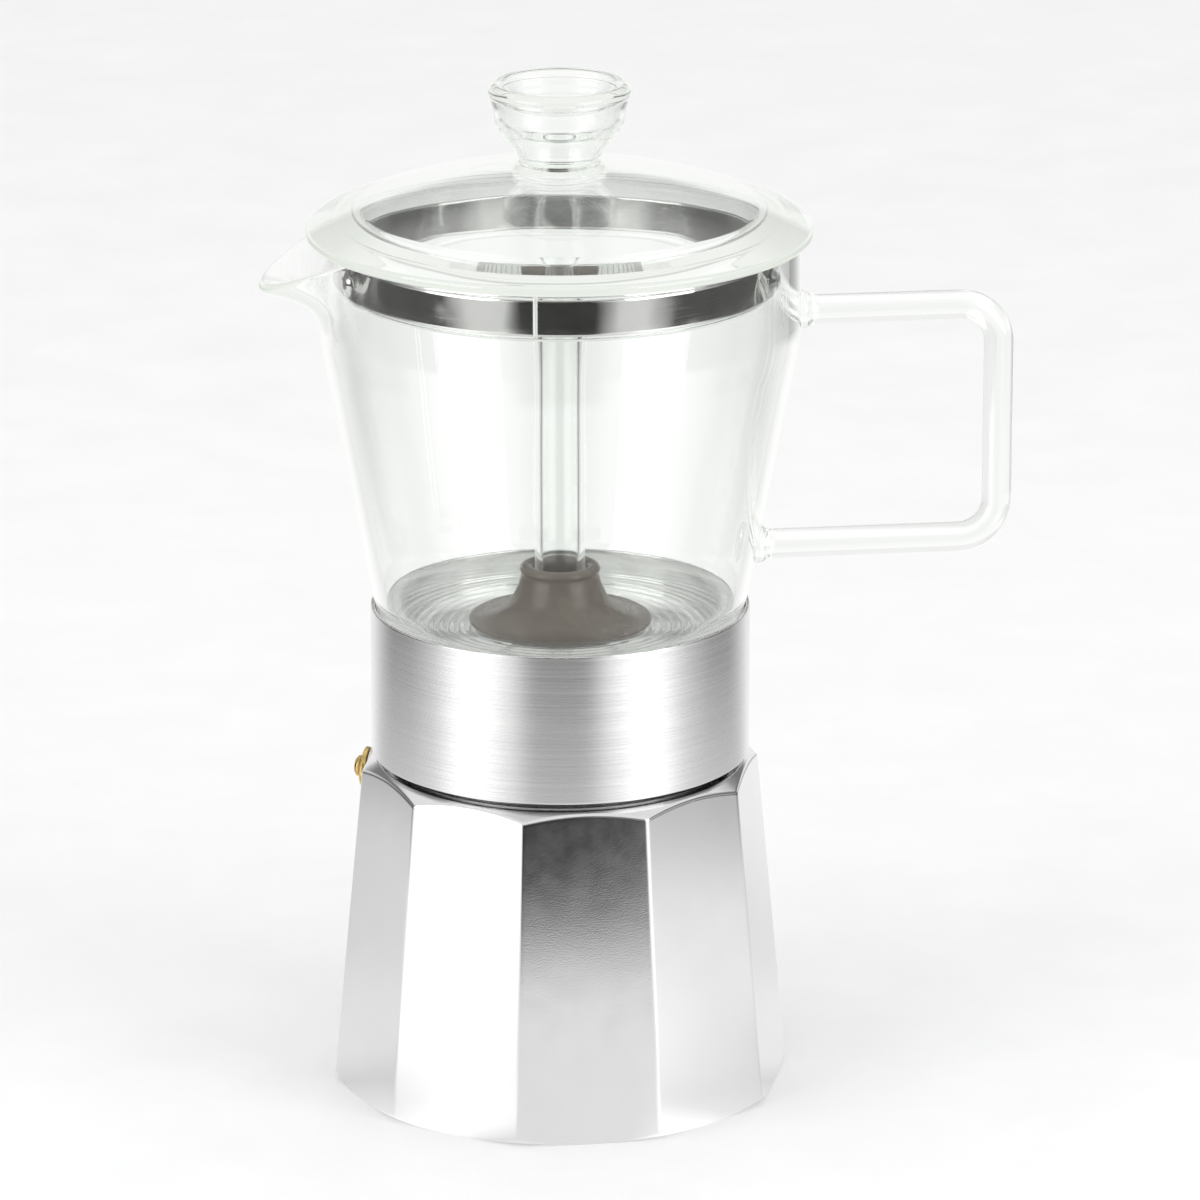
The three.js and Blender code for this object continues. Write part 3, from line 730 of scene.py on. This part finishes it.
def handle():
    """The bent rod, from the upper weld round the grip to the lower weld."""
    upper_start, lower_end = wall_x(0, UPPER_BAR), wall_x(0, LOWER_BAR)
    straight = GRIP_X - BEND
    path = []
    for step in range(BAR_STEPS + 1):
        path.append((upper_start + (straight - upper_start) * (step / BAR_STEPS) ** 2, UPPER_BAR, 0.0))
    for step in range(1, BEND_STEPS + 1):
        angle = math.pi / 2 * step / BEND_STEPS
        path.append((straight + BEND * math.sin(angle), UPPER_BAR - BEND * (1 - math.cos(angle)), angle))
    drop = UPPER_BAR - LOWER_BAR - 2 * BEND
    for step in range(1, GRIP_STEPS + 1):
        path.append((GRIP_X, UPPER_BAR - BEND - drop * step / GRIP_STEPS, math.pi / 2))
    for step in range(1, BEND_STEPS + 1):
        angle = math.pi / 2 * step / BEND_STEPS
        path.append((
            straight + BEND * math.cos(angle), LOWER_BAR + BEND * (1 - math.sin(angle)),
            math.pi / 2 + angle,
        ))
    for step in range(1, BAR_STEPS + 1):
        share = 1 - (1 - step / BAR_STEPS) ** 2
        path.append((straight - (straight - lower_end) * share, LOWER_BAR, math.pi))
    rings = []
    for x, z, heading in path:
        reach = x - upper_start if heading < 1 else x - lower_end
        radius = rod_radius(reach)
        side = Vector((math.sin(heading), math.cos(heading)))
        ring = []
        for i in range(ROD_COLUMNS):
            turn = math.tau * i / ROD_COLUMNS
            out = radius * math.cos(turn)
            y = radius * math.sin(turn)
            ring.append((x + out * side.x, y, z + out * side.y))
        rings.append(ring)
    for end, height in ((0, UPPER_BAR), (-1, LOWER_BAR)):
        rings[end] = [(wall_x(y, z) + 0.02, y, z) for _, y, z in rings[end]]
    caps = []
    for end, height in ((0, UPPER_BAR), (-1, LOWER_BAR)):
        for share in (0.6, 0.25):
            caps.append([
                (wall_x(share * y, height + share * (z - height)) + 0.02, share * y,
                 height + share * (z - height))
                for _, y, z in rings[end]
            ])
        caps.append([(wall_x(0, height) + 0.02, 0, height)])
    return skin([caps[2], caps[1], caps[0], *rings, caps[3], caps[4], caps[5]])


def cone_seal():
    flare = curve_through([
        (20.7, 111.0), (18, 111.3), (15.2, 112.2), (12.7, 113.8), (11.1, 115.6), (10.0, 117.8),
        (9.2, 120.0), (8.9, 121.5), (9.25, 122.6), (8.9, 123.4), (8.0, 123.7), (7.0, 123.6),
        (6.2, 122.9),
    ])
    return lathe([
        *rounded([
            (4.8, 105.1, 0.3), (10.4, 105.1, 0.5), (10.4, 106.9, 0.4), (7.9, 107.2, 0.2),
            (7.9, 110.4, 0.3), (21, 110.4, 0.2), (21, 110.9, 0.1),
        ])[1:-1],
        *flare,
        (6.05, 122.4), (6.05, 116.3), (4.8, 116.3),
    ], 128)


def riser_tube():
    return lathe(rounded([
        (4.1, 116.6, 0.3), (5.75, 116.6, 0.5), (5.75, 192.3, 0.7), (4.1, 192.3, 0.5),
    ]), 96)


# ---- Lid ----

def dome_height(radius, inset=0.0):
    """The height of the dome's outer face, or of its inner one with the wall as inset."""
    return LID_TOP - LID_SPHERE + math.sqrt((LID_SPHERE - inset) ** 2 - radius ** 2)


def lid():
    inner = SKIRT_RADIUS - SKIRT_WALL
    under = [(r, dome_height(r, LID_WALL)) for r in (12, 18, 24, 30, 36, 41)]
    over = [(r, dome_height(r)) for r in (54, 48, 42, 36, 30, 24, 18, 12)]
    profile = rounded([
        (LID_HOLE, dome_height(LID_HOLE, LID_WALL), 0.6), *under,
        (inner, dome_height(inner, LID_WALL), 2.5),
        (inner, SKIRT_BOTTOM, 1.05), (SKIRT_RADIUS, SKIRT_BOTTOM, 1.05),
        (SKIRT_RADIUS, 203.2, 1.5), (54, 202.0, 3),
        (FLANGE_RADIUS, 201.2, 1.1), (FLANGE_RADIUS, dome_height(FLANGE_RADIUS), 1.1), *over,
        (LID_HOLE, dome_height(LID_HOLE), 0.6),
    ], steps=8)
    return lathe(profile, 256)


def knob():
    """Blown hollow, open below, with a shallow bowl in its top."""
    outside = curve_through([
        (8.3, 216.6), (9.6, 216.55), (10.8, 216.6), (10.6, 217.2), (9.7, 217.9), (9.3, 218.8),
        (9.7, 220.0), (10.8, 221.6), (12.5, 223.7), (14.0, 225.6), (14.75, 227.2), (15.1, 229),
        (15.8, 232.2), (16.3, 234.8), (15.7, 235.9), (14.5, 236.4), (13.4, 235.9), (12.2, 234.4),
        (10.4, 232.9), (7, 232.0), (3.5, 231.8), (0, 231.75),
    ])
    inside = curve_through([
        (0, 230.1), (3.5, 230.15), (7, 230.4), (10.6, 231.4), (12.8, 232.9), (14.2, 234.0),
        (14.3, 232.6), (13.6, 229.4), (13.0, 227.6), (11.6, 225.5), (9.9, 223.3), (8.6, 221.4),
        (7.9, 219.8), (7.6, 218.4), (7.7, 217.2), (8.3, 216.6),
    ])
    profile = [*inside, *outside[1:]]
    return lathe(profile, 160)


def band():
    """The split spring ring, with a pressed dimple on each side."""
    inner, outer, bottom, top = 49.0, 49.55, 190.5, 198.9
    slot, slot_half = math.radians(-103.5), 0.5 / outer
    levels = [bottom + 0.25 + (top - bottom - 0.5) * i / 16 for i in range(17)]
    section = [(outer, z) for z in levels]
    section += [(outer - 0.2, top), (inner + 0.2, top)]
    section += [(inner, z) for z in reversed(levels)]
    section += [(inner + 0.2, bottom), (outer - 0.2, bottom)]
    columns = 420
    rings = []
    for i in range(columns + 1):
        angle = slot + slot_half + (math.tau - 2 * slot_half) * i / columns
        ring = []
        for radius, z in section:
            bulge = 0.0
            for dimple in (math.radians(-166), math.radians(-25)):
                gap = math.remainder(angle - dimple, math.tau) * outer
                bulge += 1.35 * math.exp(-((math.hypot(gap, z - 194.5) / 2.6) ** 4))
            wide = radius + bulge
            ring.append((wide * math.cos(angle), wide * math.sin(angle), z))
        rings.append(ring)
    ends = [[tuple(sum(axis) / len(section) for axis in zip(*rings[end]))] for end in (0, -1)]
    return skin([ends[0], *rings, ends[1]])


# ---- Assembly ----

make_piece("boiler_casting", boiler(), "boiler", CAST, ["boiler"])
make_piece("valve_flange", valve_flange(), "boiler", BRASS, ["valve_body"], valve_place())
make_piece("valve_button", valve_button(), "valve_pin", BRASS, ["valve_pin"], valve_place())
make_piece("funnel_basket", funnel(), "boiler", PRESSED, ["filter_funnel"])
make_piece("clamp_gasket", gasket(), "seal_pack", RUBBER, ["gasket"])
make_piece("collar_ring", collar(), "collar", TURNED, ["collar"])
make_piece("nozzle_tube", nozzle(), "collar", TURNED, ["outlet_nozzle"])
make_piece("jug_body", jug(), "jug", GLASS, ["jug"], sharp=60)
make_piece("handle_rod", handle(), "jug", GLASS, ["jug_handle"], sharp=60)
make_piece("cone_grommet", cone_seal(), "jug", SILICONE, ["cone_seal"])
make_piece("riser_glass", riser_tube(), "jug", GLASS, ["riser_tube"], sharp=60)
make_piece("lid_dome", lid(), "lid", GLASS, ["lid_glass"], sharp=60)
make_piece("knob_bulb", knob(), "lid", GLASS, ["lid_knob"], sharp=60)
make_piece("band_ring", band(), "lid", STEEL, ["lid_band"])

CARRIED_OVER = {
    "valve_washer": RUBBER,
    "valve_retainer": BRASS,
    "valve_spring": STEEL,
    "basket_screen": PRESSED,
    "filter_plate": PRESSED,
}
for node, material in CARRIED_OVER.items():
    for material_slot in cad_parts[node].material_slots:
        material_slot.material = material


# ---- Studio ----

# What mirrored rays, and rays through glass, meet in place of the plain white floor and background.
# Each ring is the brightness round the pot as stops of (turn from the camera in degrees, brightness).
BRIGHTEST = 1.5
THROUGH_GLASS = 0.88  # the least brightness met straight through glass
FOOT_RING = (
    (0, 0.95), (18, 0.95), (28, 1.3), (40, 1.4), (52, 1.05), (80, 0.8), (95, 0.95), (180, 1.0),
)
NEAR_RING = (
    (0, 0.95), (35, 1.0), (48, 1.5), (60, 1.5), (76, 1.05), (105, 0.9), (132, 0.74), (158, 1.15),
    (180, 0.98),
)
FAR_RING = (
    (0, 0.03), (15, 0.03), (27, 1.1), (38, 1.4), (60, 1.4), (82, 0.6), (98, 0.2), (118, 0.2),
    (134, 0.72), (152, 1.05), (180, 0.98),
)
EDGE_RING = (
    (0, 0.01), (18, 0.01), (30, 0.8), (46, 0.8), (60, 0.05), (130, 0.05), (150, 0.4), (166, 0.98),
    (180, 0.98),
)
# Each ring after the foot's takes over from the one before it between two distances, in metres.
RING_STARTS = ((NEAR_RING, 0.08, 0.17), (FAR_RING, 0.29, 0.39), (EDGE_RING, 0.6, 0.72))
# Above the far ring, the background takes each brightness between two heights of the ray's direction.
SKY_STARTS = ((0.2, 0.2, 0.3), (0.95, 0.45, 0.65))
SKY_LIGHT = 0.98  # what the background gives to matt surfaces
SKY_SEEN = 0.93  # what the camera sees of it
SOFTBOX_DIFFUSE = 0.1
FLOOR_REACH = 9.0


def camera_direction():
    azimuth, elevation = math.radians(CAMERA_AZIMUTH), math.radians(CAMERA_ELEVATION)
    return Vector((
        math.sin(azimuth) * math.cos(elevation), -math.cos(azimuth) * math.cos(elevation),
        math.sin(elevation),
    ))


def aim(thing, place, target):
    thing.location = place
    thing.rotation_mode = "QUATERNION"
    thing.rotation_quaternion = (target - place).to_track_quat("-Z", "Y")


def add_camera():
    back = camera_direction()
    right = Vector((math.cos(math.radians(CAMERA_AZIMUTH)), math.sin(math.radians(CAMERA_AZIMUTH)), 0))
    up = back.cross(right)
    middle = Vector((0, 0, LOOK_HEIGHT))
    camera = bpy.data.objects.new("camera", bpy.data.cameras.new("camera"))
    camera.data.lens = CAMERA_LENS
    camera.data.clip_start = 0.05
    camera.data.clip_end = 60
    aim(camera, middle + back * CAMERA_DISTANCE, middle + right * LOOK_RIGHT - up * LOOK_DOWN)
    bpy.context.scene.collection.objects.link(camera)
    bpy.context.scene.camera = camera


def add_softbox(name, turn, elevation, distance, width, height, radiance):
    """A rectangular light at a turn from the camera's direction, in degrees."""
    light = bpy.data.lights.new(name, "AREA")
    light.shape = "RECTANGLE"
    light.size = width
    light.size_y = height
    light.energy = radiance * width * height * math.pi
    light.diffuse_factor = SOFTBOX_DIFFUSE
    angle = math.radians(CAMERA_AZIMUTH - 90 + turn)
    rise = math.radians(elevation)
    place = distance * Vector((
        math.cos(angle) * math.cos(rise), math.sin(angle) * math.cos(rise), math.sin(rise),
    ))
    lamp = bpy.data.objects.new(name, light)
    aim(lamp, place, Vector((0, 0, 0.1)))
    bpy.context.scene.collection.objects.link(lamp)


def studio_ring(s, places, stops):
    """One ring's brightness, over the brightest, at places round the pot."""
    toward = camera_direction()
    toward.z = 0
    level = s.add("ShaderNodeVectorMath", {0: s.level(places)}, operation="NORMALIZE").outputs[0]
    facing = s.add("ShaderNodeVectorMath", {0: level, 1: toward.normalized()}, operation="DOT_PRODUCT")
    share = s.spread(facing.outputs["Value"], 0.0, 1.0, -1.0, 1.0)
    ring = s.add("ShaderNodeValToRGB", {"Fac": share})
    elements = ring.color_ramp.elements
    elements.remove(elements[1])
    for turn, brightness in stops:
        value = brightness / BRIGHTEST
        position = (1 + math.cos(math.radians(turn))) / 2
        element = elements[0] if turn == 180 else elements.new(position)
        element.color = (value, value, value, 1)
    return ring.outputs["Color"]


def least_through_glass(s, rays):
    """The least brightness, over the brightest, for a ray that no surface has mirrored."""
    return s.spread(rays["Glossy Depth"], THROUGH_GLASS / BRIGHTEST, 0.0, 0.0, 1.0)


def add_world():
    """Plain white to the camera and to matt surfaces.

    Other rays meet the far ring low down, then a dim band above it and a bright ceiling.
    """
    world = bpy.data.worlds.new("studio")
    bpy.context.scene.world = world
    world.use_nodes = True
    world.node_tree.nodes.clear()
    s = Nodes(world.node_tree)
    places = s.add("ShaderNodeTexCoord").outputs["Generated"]
    height = s.add("ShaderNodeSeparateXYZ", {0: places}).outputs["Z"]
    studio = studio_ring(s, places, FAR_RING)
    for brightness, start, end in SKY_STARTS:
        share = s.add("ShaderNodeMapRange", {
            "Value": height, "From Min": start, "From Max": end,
        }, interpolation_type="SMOOTHSTEP").outputs[0]
        studio = s.between(share, studio, brightness / BRIGHTEST)
    rays = s.add("ShaderNodeLightPath").outputs
    studio = s.maths("MAXIMUM", studio, least_through_glass(s, rays))
    seen = s.between(rays["Is Diffuse Ray"], studio, SKY_LIGHT / BRIGHTEST)
    seen = s.between(rays["Is Camera Ray"], seen, SKY_SEEN / BRIGHTEST)
    strength = s.maths("MULTIPLY", seen, BRIGHTEST)
    background = s.add("ShaderNodeBackground", {"Color": (1, 1, 1, 1), "Strength": strength})
    output = s.add("ShaderNodeOutputWorld")
    s.put(output.inputs["Surface"], background.outputs[0])


def floor_material():
    """Matt white paper. Mirrored rays and rays through glass see it glow by the rings instead."""
    s = Shader("paper_white")
    s.set(
        Base_Color=s.ramp(s.grain(s.place, 30, detail=5), (0.3, (0.87, 0.87, 0.875)), (0.7, (0.9, 0.9, 0.9))),
        Roughness=0.9,
        Specular_IOR_Level=0.1,
        Normal=s.bump(s.grain(s.place, 400), 0.00005),
    )
    distance = s.radius(s.place)
    lit = studio_ring(s, s.place, FOOT_RING)
    for ring, start, end in RING_STARTS:
        lit = s.blend(s.spread(distance, 0.0, 1.0, start, end), lit, studio_ring(s, s.place, ring))
    rays = s.add("ShaderNodeLightPath").outputs
    lit = s.maths("MAXIMUM", lit, least_through_glass(s, rays))
    glow = s.add("ShaderNodeEmission", {"Color": lit, "Strength": BRIGHTEST}).outputs[0]
    bounced = s.maths("MAXIMUM", rays["Glossy Depth"], rays["Transmission Depth"])
    s.show_instead(s.maths("GREATER_THAN", bounced, 0.5), glow)
    return s.material


def add_floor():
    reach = FLOOR_REACH
    corners = [(-reach, -reach, 0), (reach, -reach, 0), (reach, reach, 0), (-reach, reach, 0)]
    mesh = bpy.data.meshes.new("floor_paper")
    mesh.from_pydata(corners, [], [(0, 1, 2, 3)])
    mesh.materials.append(floor_material())
    paper = bpy.data.objects.new("floor_paper", mesh)
    bpy.context.scene.collection.objects.link(paper)


add_camera()
add_world()
add_floor()
add_softbox("softbox_left", -54, 18, 1.3, 0.85, 1.1, 2.2)
add_softbox("softbox_right", 52, 18, 1.3, 0.85, 1.1, 2.2)
bpy.context.scene.view_settings.view_transform = "Standard"
